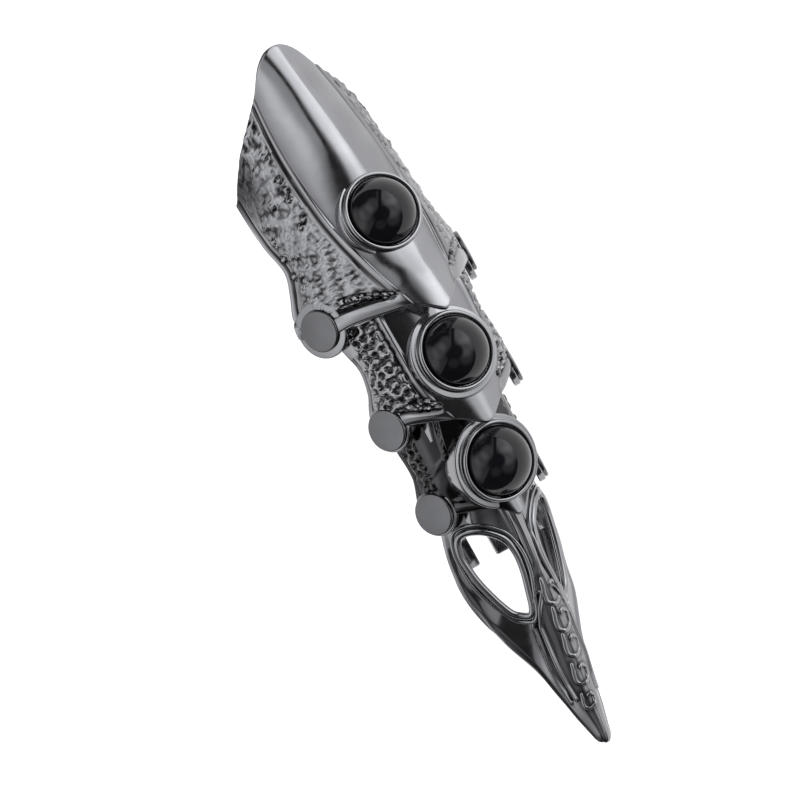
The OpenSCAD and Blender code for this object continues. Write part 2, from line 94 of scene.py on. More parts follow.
# Section tables of the plates, as in the CAD: place along the finger, crest height, border's y and z,
# rim's y and z, swell of the blade and swell of the flank
COLUMNS = range(1, 8)
CREST_Z = 1
SECTIONS = {
    "knuckle": [
        [-35, 3.5, 4.2, 1.4, 9.2, -5, 0.5, 0.4],
        [-29.5, 5.2, 5, 2, 10, -5, 0.5, 0.4],
        [-24, 6.6, 5.8, 2.8, 10.8, -5, 0.5, 0.5],
        [-18.7, 7.7, 6.2, 3.8, 11, -4.8, 0.5, 0.7],
        [-12.5, 8, 6.2, 5.2, 11, -3.8, 0.4, 0.8],
        [-8.5, 8.1, 5.8, 6.2, 10.7, -2.9, 0.4, 1],
        [-5.5, 8.7, 5.3, 7.2, 11.5, -3.1, 0.4, 1.1],
        [-3, 9.4, 4.8, 8, 12.4, -3.6, 0.3, 1.2],
        [0, 10.4, 4.1, 9.1, 12.9, -3.8, 0.2, 1.1],
        [6, 11.4, 2.5, 10.6, 12.9, -3.8, 0.2, 1],
    ],
    "second": [
        [-15, 7.4, 6, 5.7, 9.3, -2, 0.3, 1.2],
        [-11.8, 7.4, 6.1, 5.8, 9.1, -2, 0.3, 1.3],
        [-8.1, 7.3, 6, 5.7, 8.2, -2, 0.3, 1.3],
        [-5, 7, 5.9, 5.6, 8.8, -2, 0.3, 1.3],
        [-3.2, 6.9, 5.7, 5.5, 9.7, -2.3, 0.3, 1.2],
        [0, 6.8, 4.9, 5.5, 10.9, -2.9, 0.2, 0.9],
        [6, 6.7, 2.5, 5.9, 10.9, -2.9, 0.2, 0.7],
    ],
    "third": [
        [-12, 6.7, 5, 5.2, 7.6, -2, 0.3, 1],
        [-9, 6.6, 5, 5, 7.4, -2, 0.3, 1.1],
        [-5.2, 6.3, 5.1, 4.7, 7.3, -2, 0.3, 1.1],
        [-2.7, 5.9, 4.9, 4.4, 8.2, -2.2, 0.3, 1],
        [0, 5.6, 4.1, 4.3, 9.1, -2.9, 0.2, 0.7],
        [5.5, 5.2, 1.8, 4.5, 9.1, -2.9, 0.2, 0.5],
    ],
    "claw": [
        [-1, 4.1, 1.7, 3.5, 6.2, -2.4, 0.3, 0.9],
        [4, 3.7, 1.4, 2.8, 7.8, -3.4, 0.3, 0.9],
        [8, 2.9, 1.2, 2, 8, -4.8, 0.3, 0.8],
        [11.5, 2.1, 1.3, 1, 7.6, -5.5, 0.3, 0.6],
        [15, 1, 1.9, -0.3, 6.9, -5.6, 0.35, 0.2],
        [19, -0.3, 2.4, -1.7, 5.7, -5.6, 0.35, -0.3],
        [23.5, -1.6, 2.4, -3.1, 3.9, -5.6, 0.35, -0.3],
        [28.3, -2.9, 2, -4.3, 2.7, -5.7, 0.3, 0],
        [32.8, -4, 1.2, -4.9, 1.6, -5.8, 0.2, 0],
        [35.7, -4.8, 0.7, -5.1, 0.9, -5.8, 0.1, 0],
    ],
}
# Edge tables: share of the way from crest to rim, and where the plate starts and ends there
START_X, END_X = 1, 2
EDGES = {
    "knuckle": [
        [0, -34.3, 5.6], [0.15, -33.8, 4.9], [0.3, -32.3, 3.9], [0.45, -29.5, 3],
        [0.7, -25, 1.6], [0.9, -21, 1.4], [1, -18.7, -0.3],
    ],
    "second": [
        [0, -12.9, 5.6], [0.15, -13, 5], [0.45, -13.2, 3], [0.7, -13.4, 0.9],
        [0.85, -13.5, 0.7], [1, -13.5, -0.3],
    ],
    "third": [
        [0, -10.2, 5.5], [0.15, -10.3, 5], [0.45, -10.5, 3], [0.7, -10.7, 1.4],
        [0.85, -10.8, 1.3], [1, -10.8, -0.3],
    ],
    "claw": [[0, 0.6, 35.7], [0.5, 0.4, 35.6], [1, 0.2, 35.2]],
}
SECTIONS = {k: np.array(v, float) for k, v in SECTIONS.items()}
EDGES = {k: np.array(v, float) for k, v in EDGES.items()}

BLADE = 0.45
WALL = 0.9
TIP_SOFT = 0.08
# Step for the skin's slopes, as a share of its length
SLOPE_STEP = 0.008
# Halvings that find the place on a plate that the photograph shows
SEEN_HALVINGS = 26


# Smooth curve through one column of a table, as in the CAD
def curve(rows, x, column):
    x = np.asarray(x, float)
    last = len(rows) - 1
    i = np.clip(np.searchsorted(rows[:, 0], x, side="right") - 1, 0, last - 1)
    w = rows[i + 1, 0] - rows[i, 0]
    k = np.clip((x - rows[i, 0]) / w, 0, 1)

    def slope(j):
        a = np.maximum(j - 1, 0)
        b = np.minimum(j + 1, last)
        return (rows[b, column] - rows[a, column]) / (rows[b, 0] - rows[a, 0])

    return (
        rows[i, column] * (1 + 2 * k) * (1 - k) ** 2
        + rows[i + 1, column] * k * k * (3 - 2 * k)
        + slope(i) * w * k * (1 - k) ** 2
        - slope(i + 1) * w * k * k * (1 - k)
    )


def bowed(ay, az, by, bz, swell, k):
    dy = by - ay
    dz = bz - az
    length = np.sqrt(dy * dy + dz * dz)
    lift = swell * 4 * k * (1 - k)
    return ay + dy * k - dz / length * lift, az + dz * k + dy / length * lift


# Share across with a rounded start, so that a plate's ends are round at the crest
def soft_share(across):
    return np.sqrt(across * across + TIP_SOFT * TIP_SOFT)


# Points on a plate's skin, on its +Y side: along from start to end, across from crest (0) to rim (1)
def skin(plate, along, across):
    rows = SECTIONS[plate]
    edges = EDGES[plate]
    share = soft_share(across)
    start = curve(edges, share, START_X)
    x = start + (curve(edges, share, END_X) - start) * along
    across_x = [curve(rows, x, column) for column in COLUMNS]
    crest_z, border_y, border_z, rim_y, rim_z, blade_swell, flank_swell = across_x
    on_blade = across < BLADE
    blade_y, blade_z = bowed(0 * x, crest_z, border_y, border_z, blade_swell, across / BLADE)
    flank_share = (across - BLADE) / (1 - BLADE)
    flank_y, flank_z = bowed(border_y, border_z, rim_y, rim_z, flank_swell, flank_share)
    return np.stack([x, np.where(on_blade, blade_y, flank_y), np.where(on_blade, blade_z, flank_z)], -1)


def unit(v):
    return v / np.linalg.norm(v, axis=-1, keepdims=True)


# Outward direction of the skin
def outward(plate, along, across):
    a0 = np.maximum(along - SLOPE_STEP, 0)
    a1 = np.minimum(along + SLOPE_STEP, 1)
    b0 = np.maximum(across - SLOPE_STEP, 0)
    b1 = np.minimum(across + SLOPE_STEP, 1)
    u = skin(plate, a1, across) - skin(plate, a0, across)
    v = skin(plate, along, b1) - skin(plate, along, b0)
    return unit(np.cross(u, v))


# A pixel's place along a plate, and across it in the picture
def pixel_place(plate, pixel):
    offset = (np.array(pixel, float) - HINGE_PX) / PX_PER_MM
    return offset @ PX_ALONG - PIVOT[plate][0], offset @ PX_ACROSS - SEEN_Z * PIVOT[plate][2]


# Point of the skin whose picture lies at r, by halving the share across. point gives the skin there.
def halved(count, point, z_part, y_part, r):
    low, high = 0.0, 1.0
    for _ in range(count):
        middle = (low + high) / 2
        p = point(middle)
        if z_part * p[2] - y_part * p[1] > r:
            low = middle
        else:
            high = middle
    return p


# Place on a plate's left flank that the photograph shows at a pixel, as a point of its +Y side
def seen(plate, pixel):
    x, r = pixel_place(plate, pixel)

    def point(middle):
        start = curve(EDGES[plate], soft_share(middle), START_X)
        end = curve(EDGES[plate], soft_share(middle), END_X)
        return skin(plate, np.array((x - start) / (end - start)), np.array(middle))

    return halved(SEEN_HALVINGS, point, SEEN_Z, SEEN_Y, r)


def smooth(edge0, edge1, v):
    k = np.clip((v - edge0) / (edge1 - edge0), 0, 1)
    return k * k * (3 - 2 * k)


def bump(distance, width):
    k = np.clip(np.abs(distance) / width, 0, 1)
    return 0.5 + 0.5 * np.cos(pi * k)


# Distance of every point to the nearest point of a line through the given points
def line_distance(points, line):
    line = np.array(line)
    best = np.full(points.shape[:-1], 1e9)
    for a, b in zip(line[:-1], line[1:]):
        ab = b - a
        k = np.clip((points - a) @ ab / max(ab @ ab, 1e-9), 0, 1)
        d = np.linalg.norm(points - (a + k[..., None] * ab), axis=-1)
        best = np.minimum(best, d)
    return best


# Round cells of uneven size: 1 in the middle of a cell, falling to 0 between cells
def pebbles(u, v, cell, seed):
    jitter, steepness, fullness = 0.8, 1.6, 0.7
    rng = np.random.default_rng(seed)
    cu = np.floor(u / cell).astype(int)
    cv = np.floor(v / cell).astype(int)
    iu, iv = cu - cu.min() + 1, cv - cv.min() + 1
    shape = (iu.max() + 2, iv.max() + 2)
    ju = rng.uniform(-jitter / 2, jitter / 2, shape)
    jv = rng.uniform(-jitter / 2, jitter / 2, shape)
    best = np.full(u.shape, 1e9)
    second = np.full(u.shape, 1e9)
    for du in (-1, 0, 1):
        for dv in (-1, 0, 1):
            a, b = iu + du, iv + dv
            pu = cu + du + 0.5 + ju[a, b]
            pv = cv + dv + 0.5 + jv[a, b]
            d = np.hypot(u / cell - pu, v / cell - pv)
            second = np.minimum(second, np.maximum(best, d))
            best = np.minimum(best, d)
    return np.clip((second - best) * steepness, 0, 1) ** fullness


# Worm-like ridges of even width
def worms(u, v, wavelength, seed):
    rng = np.random.default_rng(seed)
    waves = 11
    steepness = 2.2
    total = 0
    for _ in range(waves):
        angle = rng.uniform(0, pi)
        way = u * cos(angle) + v * sin(angle)
        total = total + np.cos(way * 2 * pi / wavelength + rng.uniform(0, 2 * pi))
    return 0.5 + 0.5 * np.tanh(steepness * total / sqrt(waves / 2))


# Slow swell of the surface, for cast metal that is never quite even
def swell(u, v, wavelength, seed):
    rng = np.random.default_rng(seed)
    waves = 7
    total = 0
    for _ in range(waves):
        angle = rng.uniform(0, pi)
        k = 2 * pi / (wavelength * rng.uniform(0.7, 1.4))
        total = total + np.cos((u * cos(angle) + v * sin(angle)) * k + rng.uniform(0, 2 * pi))
    return total / sqrt(waves / 2)


def seen_line(plate, pixels):
    return [seen(plate, p) for p in pixels]


def ridge(points, line, height, width):
    return height * bump(line_distance(points, line), width)


# Raised beads at the given places, each in a shallow ring
def beads(points, places, radius, height):
    ring_depth, ring_at, ring_width = 0.35, 1.25, 0.4
    total = 0
    for place in places:
        d = np.linalg.norm(points - place, axis=-1) / radius
        ring = ring_depth * height * bump(d - ring_at, ring_width)
        total = total + height * np.sqrt(np.clip(1 - d * d, 0, 1)) - ring
    return total


# Places spread evenly along a line through the given points
def spread(line, count, to_end=True):
    line = np.array(line)
    run = np.concatenate([[0], np.cumsum(np.linalg.norm(np.diff(line, axis=0), axis=1))])
    at = np.linspace(0, run[-1], count, endpoint=to_end)
    return np.stack([np.interp(at, run, column) for column in line.T], -1)


# Lines along the border between blade and flank, and along the rim: distance, height and half width
BORDER_LINES = [(0, 0.24, 0.42), (0.6, -0.12, 0.26), (0.98, 0.1, 0.24)]
RIM_LINES = [(0.35, 0.24, 0.5), (0.95, -0.14, 0.3), (1.3, 0.1, 0.26)]
# Distances from a plate's outer end over which its border lines start
BORDER_FADE = (0.6, 6.5)
# Widths of the smooth strips along the outer ends of the flanks, and their heights
STRIP_W = each(2.1, 1.6, 1.4)
STRIP_H, STRIP_SWELL, STRIP_GROOVE = 0.2, 0.08, 0.16

# Places of the relief in the photograph
KNUCKLE_BOSSES_PX = [
    (277.5, 182), (283.6, 192.3), (286.6, 201.8), (300.4, 206.5), (301, 221), (298.7, 229), (270.4, 209.6),
    (290.9, 279), (262, 160), (271, 244), (281, 262),
]
KNUCKLE_ROW_PX = [(338.5, 305), (352, 300.5), (372, 297), (389, 297.5)]
SECOND_ROW_PX = [(408, 408), (424, 403), (436, 408)]
VEIN_PX = [(431.5, 419), (436, 436), (442.5, 458)]
VEIN_BRANCH_PX = [(444, 461), (452, 472), (458.5, 485), (462.5, 494), (460, 500), (455, 502)]
VEIN_FORK_PX = [(442.5, 458), (434, 470), (428, 480)]
RAIL_PX = [(532.5, 596), (530.8, 612), (531.5, 630), (540.5, 652), (549, 671), (559, 690), (568, 704)]
SECOND_RAIL_PX = [
    (538.5, 594), (536.8, 611), (537.8, 629), (546.5, 649.5), (555, 668), (564.5, 687), (573, 701),
]
GROOVE_PX = [
    (535.5, 595), (533.8, 611.5), (534.7, 629.5), (543.5, 651), (552, 669.5), (561.8, 688.5), (570.5, 702.5),
]


def line_profile(distance, lines):
    return sum(height * bump(distance - at, width) for at, height, width in lines)


# Height of the raised decoration on each plate. g holds the points, the share across, the lengths along (u)
# and across from the crest (v), and the distances from the border, the rim and the outer end.
def border_lines(g):
    return line_profile(g.from_border, BORDER_LINES) * smooth(*BORDER_FADE, g.from_end)


def rim_lines(g):
    return line_profile(g.from_rim, RIM_LINES)


# Smooth rolled strip along the outer end of a flank
def end_strip(g, width):
    on_flank = smooth(BLADE - 0.04, BLADE + 0.05, g.share)
    strip = STRIP_H * smooth(width + 0.2, width - 0.35, g.from_end)
    middle = STRIP_SWELL * bump(g.from_end - width * 0.5, width * 0.5)
    groove = -STRIP_GROOVE * bump(g.from_end - width - 0.35, 0.28)
    return (strip + middle + groove) * on_flank


# Textured part of a flank: 1 inside, rising from 0 over the given distances from border, rim and outer end
def field(g, border, rim, end):
    return smooth(*border, g.from_border) * smooth(*rim, g.from_rim) * smooth(*end, g.from_end)


# Hammered at the rear, pebbled in front, with curls in the rear corner, bosses and a row of beads
def knuckle_relief(g):
    p, u, v = g.p, g.u, g.v
    hammer_h, pebble_h, curl_h, uneven_h, swell_h = 0.12, 0.15, 0.24, 0.06, 0.035
    boss_r, boss_h, bead_r, bead_h = 0.44, 0.22, 0.43, 0.32
    front = smooth(-15, -7, u)
    corner = smooth(-23, -27, u)
    hammered = hammer_h * pebbles(u, v, 1.15, 3)
    pebbled = pebble_h * pebbles(u, v, 0.85, 5)
    texture = (hammered * (1 - front) + pebbled * front) * (1 - corner)
    texture = texture + curl_h * worms(u, v, 1.9, 8) * corner
    texture = texture + uneven_h * swell(u, v, 2.8, 11)
    bosses = beads(p, seen_line("knuckle", KNUCKLE_BOSSES_PX), boss_r, boss_h)
    row = spread(seen_line("knuckle", KNUCKLE_ROW_PX), 8)
    return (
        texture * field(g, (1.15, 1.5), (1.7, 2.1), (2.6, 3.0))
        + bosses * smooth(1.2, 1.5, g.from_border)
        + beads(p, row, bead_r, bead_h)
        + border_lines(g)
        + rim_lines(g)
        + end_strip(g, STRIP_W["knuckle"])
        + swell_h * swell(u, v, 11, 2) * smooth(0.5, 2, v)
    )


# Worm-like texture over fine pebbles, and a row of beads
def second_relief(g):
    u, v = g.u, g.v
    worm_h, pebble_h, swell_h = 0.3, 0.08, 0.03
    bead_r, bead_h = 0.34, 0.26
    texture = worm_h * worms(u, v, 1.25, 21) + pebble_h * pebbles(u, v, 0.7, 22)
    row = spread(seen_line("second", SECOND_ROW_PX), 6)
    return (
        texture * field(g, (0.8, 1.1), (1.5, 1.8), (2.0, 2.3))
        + beads(g.p, row, bead_r, bead_h)
        + border_lines(g)
        + rim_lines(g)
        + end_strip(g, STRIP_W["second"])
        + swell_h * swell(u, v, 9, 23)
    )


# Leaf veins, and worm-like texture along the rim
def third_relief(g):
    p, u, v = g.p, g.u, g.v
    worm_h, vein_h, branch_h, fork_h, swell_h = 0.3, 0.3, 0.32, 0.12, 0.05
    flank = smooth(4.3, 3.9, g.from_rim) * smooth(1.2, 1.5, g.from_rim) * smooth(2.2, 2.6, g.from_end)
    return (
        worm_h * worms(u, v, 1.35, 31) * flank
        + ridge(p, seen_line("third", VEIN_PX), vein_h, 0.4)
        + ridge(p, seen_line("third", VEIN_BRANCH_PX), branch_h, 0.42)
        + ridge(p, seen_line("third", VEIN_FORK_PX), fork_h, 0.5)
        + rim_lines(g)
        + end_strip(g, STRIP_W["third"])
        + swell_h * swell(u, v, 5, 33)
    )


# Two rails beside the crest, a ridge at the root and a raised lower edge
def claw_relief(g):
    p, u, v = g.p, g.u, g.v
    rail_h, second_rail_h, groove_h, edge_h, swell_h = 0.36, 0.32, 0.12, 0.2, 0.04
    root_ridge = 0.26 * bump(v, 0.85) - 0.2 * bump(v - 1.2, 0.5)
    return (
        ridge(p, seen_line("claw", RAIL_PX), rail_h, 0.42)
        + ridge(p, seen_line("claw", SECOND_RAIL_PX), second_rail_h, 0.4)
        - ridge(p, seen_line("claw", GROOVE_PX), groove_h, 0.3)
        + root_ridge * smooth(13.5, 11, u)
        + edge_h * bump(g.from_rim - 0.3, 0.6)
        + swell_h * swell(u, v, 6, 41)
    )


RELIEF = each(knuckle_relief, second_relief, third_relief, claw_relief)

# Rows along each plate and columns across half of it, and the steps over its last share, which round its rim
GRID = each((250, 92), (120, 88), (104, 78), (240, 76))
RIM_STEPS, RIM_SHARE = 5, 0.02
EDGE_ROUND = 0.32
# Distance from an edge over which the relief starts
RELIEF_START = 0.3
# Passes that round each plate's crest, their reach from it, and how far toward the mean each goes
CREST_PASSES = each(90, 70, 60, 8)
CREST_REACH = each(3.4, 3, 2.6, 0.8)
CREST_PULL = 0.7
# Blunt end of the claw: how long it is, the height of its middle, and how far it closes
TIP_LENGTH = 1.5
TIP_MIDDLE_Z = -5.3
TIP_CLOSING = 0.85
# Depth below its surroundings at which a recess is fully dark with painted shade, and the passes that even
# the surroundings out
PAINTED_SHADE_DEPTH = each(0.1, 0.15, 0.12, 0.15)
PAINTED_SHADE_PASSES = 36


# Steps from 0 to 1, closer together at both ends
def steps(count):
    inner = np.linspace(RIM_SHARE, 1 - RIM_SHARE, count - 2 * RIM_STEPS)
    close = RIM_SHARE * (1 - np.cos(np.linspace(0, pi / 2, RIM_STEPS + 1)[:-1]))
    return np.concatenate([close, inner, 1 - close[::-1]])


def rounding(distance):
    d = np.clip(distance, 0, EDGE_ROUND)
    return EDGE_ROUND - np.sqrt(EDGE_ROUND ** 2 - (EDGE_ROUND - d) ** 2)


# Outer and inner grids of a plate, from left rim to right rim, and how dark each point is painted, with
# painted shade in its recesses and patina
def plate_grids(plate):
    rows, half = GRID[plate]
    last = 1 - RIM_SHARE * np.cos(np.linspace(0, pi / 2, RIM_STEPS + 1)[1:])
    right = np.concatenate([np.linspace(0, 1 - RIM_SHARE, half - RIM_STEPS), last])
    along, across = np.meshgrid(steps(rows), right, indexing="ij")
    p = skin(plate, along, across)
    n = outward(plate, along, across)
    n[:, 0, 1] = 0
    n = unit(n)
    from_crest = np.cumsum(np.linalg.norm(np.diff(p, axis=1), axis=-1), axis=1)
    v = np.concatenate([np.zeros((rows, 1)), from_crest], 1)
    softened = soft_share(across)
    length = curve(EDGES[plate], softened, END_X) - curve(EDGES[plate], softened, START_X)
    from_rim = (1 - across) * v[:, -1:]
    height = RELIEF[plate](SimpleNamespace(
        p=p, share=across, u=p[..., 0], v=v,
        from_border=(across - BLADE) * v[:, -1:], from_rim=from_rim, from_end=(1 - along) * length,
    ))
    edge = np.minimum(from_rim, np.minimum(along, 1 - along) * length)
    soft = rounding(edge)
    outer = p + n * (height * smooth(0, RELIEF_START, edge) - soft)[..., None]
    inner = p - n * (WALL - soft)[..., None]

    def both(q):
        left = q[:, :0:-1].copy()
        if q.ndim == 3:
            left[..., 1] *= -1
        return np.concatenate([left, q], 1)

    outer, inner, height, v = [both(q) for q in (outer, inner, height, v)]
    weight = bump(v, CREST_REACH[plate])[:, 1:-1]
    for _ in range(CREST_PASSES[plate]):
        z = outer[..., 2]
        mean = (z[:, :-2] + z[:, 2:]) / 2
        outer[:, 1:-1, 2] = z[:, 1:-1] + CREST_PULL * weight * (mean - z[:, 1:-1])
    if plate == "claw":
        for q in (outer, inner):
            close = np.clip(1 + (q[..., 0] - EDGES["claw"][0, END_X]) / TIP_LENGTH, 0, 1)
            narrow = np.sqrt(1 - TIP_CLOSING * close * close)
            q[..., 1] *= narrow
            q[..., 2] = TIP_MIDDLE_Z + (q[..., 2] - TIP_MIDDLE_Z) * narrow
    share = np.concatenate([right[:0:-1], right])
    # Darkness painted on each point: painted shade in recesses, and patina
    painted_shade_and_patina = np.maximum(recesses(height, PAINTED_SHADE_DEPTH[plate]), patina(plate, outer[..., 0], share, v))
    return outer, inner, painted_shade_and_patina


# How deep each point lies below its surroundings, from 0 to 1, which darkens the metal there as painted
# shade
def recesses(height, full_depth):
    around = height
    for _ in range(PAINTED_SHADE_PASSES):
        around = blurred(around)
    return np.clip((around - height) / full_depth, 0, 1)


# Darker metal: the knuckle plate's rear corners, the third plate's sides and the claw's crest
def patina(plate, x, share, v):
    if plate == "knuckle":
        return 0.8 * smooth(0.62, 0.8, share) * smooth(-13, -20, x)
    if plate == "third":
        return 0.85 * smooth(0.5, 1.6, v)
    if plate == "claw":
        return 0.2 * bump(v, 2.2) * smooth(11.5, 14, x) * smooth(33, 29, x)
    return 0 * x


def blurred(h):
    h = np.pad(h, 1, mode="edge")
    return (h[1:-1, 1:-1] * 2 + h[:-2, 1:-1] + h[2:, 1:-1] + h[1:-1, :-2] + h[1:-1, 2:]) / 6


# New object from points in the ring's own frame. The last argument says how dark each point is painted:
# painted shade in recesses and round the scrolls, and patina.
def make(name, points, faces, painted_shade_and_patina=None):
    lying = np.asarray(points, float) @ LIE_ARRAY[:3, :3].T + LIE_ARRAY[:3, 3]
    mesh = bpy.data.meshes.new(name)
    mesh.from_pydata(lying.tolist(), [], faces)
    mesh.update()
    return new_object(name, mesh, painted_shade_and_patina)


def new_object(name, mesh, painted_shade_and_patina=None):
    # Point attribute that darkens the metal: painted shade in recesses and round the scrolls, and patina
    layer = mesh.attributes.new("painted_shade_and_patina", "FLOAT", "POINT")
    if painted_shade_and_patina is not None:
        layer.data.foreach_set("value", np.asarray(painted_shade_and_patina, np.float32))
    return in_scene(name, mesh)


def in_scene(name, data):
    obj = bpy.data.objects.new(name, data)
    bpy.context.scene.collection.objects.link(obj)
    return obj


def grid_faces(rows, cols, base=0, flip=False):
    i, j = np.meshgrid(np.arange(rows - 1), np.arange(cols - 1), indexing="ij")
    a = base + (i * cols + j).ravel()
    quads = np.stack([a, a + 1, a + cols + 1, a + cols], -1)
    if flip:
        quads = quads[:, ::-1]
    return quads.tolist()


# Closed shell between an outer and an inner grid
def shell(name, outer, inner, painted_shade_and_patina, pivot):
    rows, cols = outer.shape[:2]
    n = rows * cols
    points = np.concatenate([outer.reshape(-1, 3), inner.reshape(-1, 3)]) + pivot
    faces = grid_faces(rows, cols) + grid_faces(rows, cols, n, True)
    for i in range(rows - 1):
        a, b = i * cols, (i + 1) * cols
        faces.append([a, b, n + b, n + a])
        faces.append([n + a + cols - 1, n + b + cols - 1, b + cols - 1, a + cols - 1])
    for j in range(cols - 1):
        a = (rows - 1) * cols + j
        faces.append([n + j, n + j + 1, j + 1, j])
        faces.append([a, a + 1, n + a + 1, n + a])
    return make(name, points, faces, np.concatenate([painted_shade_and_patina.ravel(), np.zeros(n)]))


# Turned form: profile of (radius, height) points round the +Z of the placing matrix, closed at the axis
def turned(name, profile, place, segments=96):
    profile = np.array(profile, float)
    angles = np.linspace(0, 2 * pi, segments, endpoint=False)
    points = []
    faces = []
    rings = []
    for r, z in profile:
        ring = [(r * cos(t), r * sin(t), z) for t in angles] if r > 0 else [(0, 0, z)]
        rings.append(range(len(points), len(points) + len(ring)))
        points.extend(ring)
    for low, high in zip(rings[:-1], rings[1:]):
        for k in range(segments):
            m = (k + 1) % segments
            if len(low) == 1:
                faces.append([low[0], high[m], high[k]])
            elif len(high) == 1:
                faces.append([low[k], low[m], high[0]])
            else:
                faces.append([low[k], low[m], high[m], high[k]])
    return make(name, np.array(points) @ place[:3, :3].T + place[:3, 3], faces)


def cylinder(r, low, high, place, segments):
    return turned("tool", [(0, low), (r, low), (r, high), (0, high)], place, segments)


# Flat piece: outline in the plane of the placing matrix, h thick, with softened edges
def flat_piece(name, outline, h, place, soften=0.16):
    bm = bmesh.new()
    bottom = [bm.verts.new((x, y, 0)) for x, y in outline]
    bm.faces.new(bottom[::-1])
    top = bmesh.ops.extrude_face_region(bm, geom=bm.faces[:])
    raised = [v for v in top["geom"] if isinstance(v, bmesh.types.BMVert)]
    bmesh.ops.translate(bm, verts=raised, vec=(0, 0, h))
    bmesh.ops.recalc_face_normals(bm, faces=bm.faces[:])
    long_edges = [e for e in bm.edges if abs(e.verts[0].co.z - e.verts[1].co.z) < 1e-6]
    bmesh.ops.bevel(bm, geom=long_edges, offset=soften, segments=3, profile=0.5, affect="EDGES")
    m = Matrix(place.tolist())
    bmesh.ops.transform(bm, matrix=m, verts=bm.verts[:])
    if m.determinant() < 0:
        bmesh.ops.reverse_faces(bm, faces=bm.faces[:])
    bmesh.ops.transform(bm, matrix=LIE, verts=bm.verts[:])
    mesh = bpy.data.meshes.new(name)
    bm.to_mesh(mesh)
    bm.free()
    return new_object(name, mesh)


def turn_x(angle):
    c, s = cos(angle), sin(angle)
    return np.array([[1, 0, 0, 0], [0, c, -s, 0], [0, s, c, 0], [0, 0, 0, 1.0]])


def turn_y(angle):
    c, s = cos(angle), sin(angle)
    return np.array([[c, 0, s, 0], [0, 1, 0, 0], [-s, 0, c, 0], [0, 0, 0, 1.0]])


def move(x, y, z):
    m = np.eye(4)
    m[:3, 3] = (x, y, z)
    return m


MIRROR = np.diag([1, -1, 1, 1.0])

# Hinges: lean of the flanks, the rivets' heads and shanks, and the thickness of the lugs
LEAN = radians(26)
HEAD_R, HEAD_H, SHANK_R, LUG_H = 2.75, 0.6, 0.8, 0.9
# A head's rounding and crown, the bevel of its foot, its gap to the lug, and how far it stands proud
HEAD_ROUND, HEAD_CROWN, FOOT_W, FOOT_H, HEAD_GAP, HEAD_PROUD = 0.22, 0.12, 0.12, 0.1, 0.03, 0.02
# Bevel of a shank's tip, and how far it reaches past the ear
SHANK_TIP, SHANK_PAST = 0.15, 0.5
# Gap round a head in its plate, and the height that is cut free above its seat
SEAT_GAP, SEAT_H = 0.06, 3
EAR_H, EAR_R, EAR_GAP = 0.8, 2.3, 0.6
# Half width of each hinge, how far its inner ears are set in, and the lugs and ears
HALF_W = each(11.9, 10.2, 8.5)
SINK = each(0, 1.5, 0.7)
LUG_R = each(3.7, 3.0, 3.0)
LUG_REACH = each(2.4, 2.2, 2.2)
EAR_REACH = each(5, 4, 3.5)


def on_flank(hinge, d, side, down):
    m = move(*PIVOT[hinge]) @ turn_x(LEAN - pi / 2) @ move(0, down, d)
    if side < 0:
        m = MIRROR @ m
    return m


# Place of a rivet head's seat, or a place above it on its axis
def at_head(hinge, side, lift=0):
    half_w = HALF_W[hinge]
    return on_flank(hinge, half_w * cos(LEAN) - HEAD_H + lift, side, half_w * sin(LEAN))


# Convex outline round a set of circles and points
def hull_outline(points):
    points = sorted(set((round(x, 5), round(y, 5)) for x, y in points))

    def turn_of(a, b, c):
        return (b[0] - a[0]) * (c[1] - a[1]) - (b[1] - a[1]) * (c[0] - a[0])

    def half(seq):
        out = []
        for q in seq:
            while len(out) > 1 and turn_of(out[-2], out[-1], q) <= 0:
                out.pop()
            out.append(q)
        return out[:-1]

    return half(points) + half(points[::-1])


def circle_points(r):
    count = 72
    angles = [2 * pi * i / count for i in range(count)]
    return [(r * cos(t), r * sin(t)) for t in angles]


def lug(hinge, side):
    r, reach = LUG_R[hinge], LUG_REACH[hinge]
    outline = hull_outline(circle_points(r) + [(-reach, 1 - r), (-reach, 1)])
    return flat_piece(f"lug_{hinge}_{side}", outline, LUG_H, at_head(hinge, side, -LUG_H))


def ear(hinge, side):
    half_w, reach = HALF_W[hinge], EAR_REACH[hinge]
    d = half_w * cos(LEAN) - HEAD_H - LUG_H - EAR_GAP - SINK[hinge]
    outline = hull_outline(circle_points(EAR_R) + [(reach, -EAR_R / 2), (reach, EAR_R / 8)])
    place = on_flank(hinge, d - EAR_H, side, d * tan(LEAN))
    return flat_piece(f"ear_{hinge}_{side}", outline, EAR_H, place, 0.1)


# Bezels
BEZEL = each((-9.3, 8.8, -6), (-4.5, 8.2, 1.5), (-1.8, 7.1, 13))
ROOF_Z = each(6.6, 5.9, 4.8)
BEZEL_R, STONE_R, CUP_R, DOME_H = 5.2, 4.5, 4.6, 3.5
STEP_R = each(5.65, 6.0, 6.0)
# Depths of a cup and of the step round it, and heights of the bezel's foot and the stone's girdle
CUP_DEPTH, STEP_DROP, FOOT_Z, GIRDLE_Z = 1.7, 1.1, -6, -0.4
# Rounding of the step, the cove between step and rim, its middle's distance from the rim, and the top of
# the cup's straight wall
STEP_ROUND, COVE_R, COVE_GAP, WALL_TOP_Z = 0.25, 0.18, 0.12, -0.7
# A stone's foot and its bevel, and how far below the girdle its wall ends
STONE_FOOT_Z, STONE_BEVEL_W, STONE_BEVEL_Z, GIRDLE_DROP = -1.65, 0.1, -1.5, 0.05
# Radius of the hollow under the bezels
BORE_R = 9.5
# How far a plate's hole for its bezel ends inside the bezel's metal
BEZEL_OVERLAP = 0.2


def at_bezel(hinge):
    x, z, tilt = BEZEL[hinge]
    return move(*PIVOT[hinge]) @ move(x, 0, z) @ turn_y(radians(tilt))


def arc_points(cx, cz, r, start, end, count):
    return [(cx + r * cos(radians(t)), cz + r * sin(radians(t))) for t in np.linspace(start, end, count)]


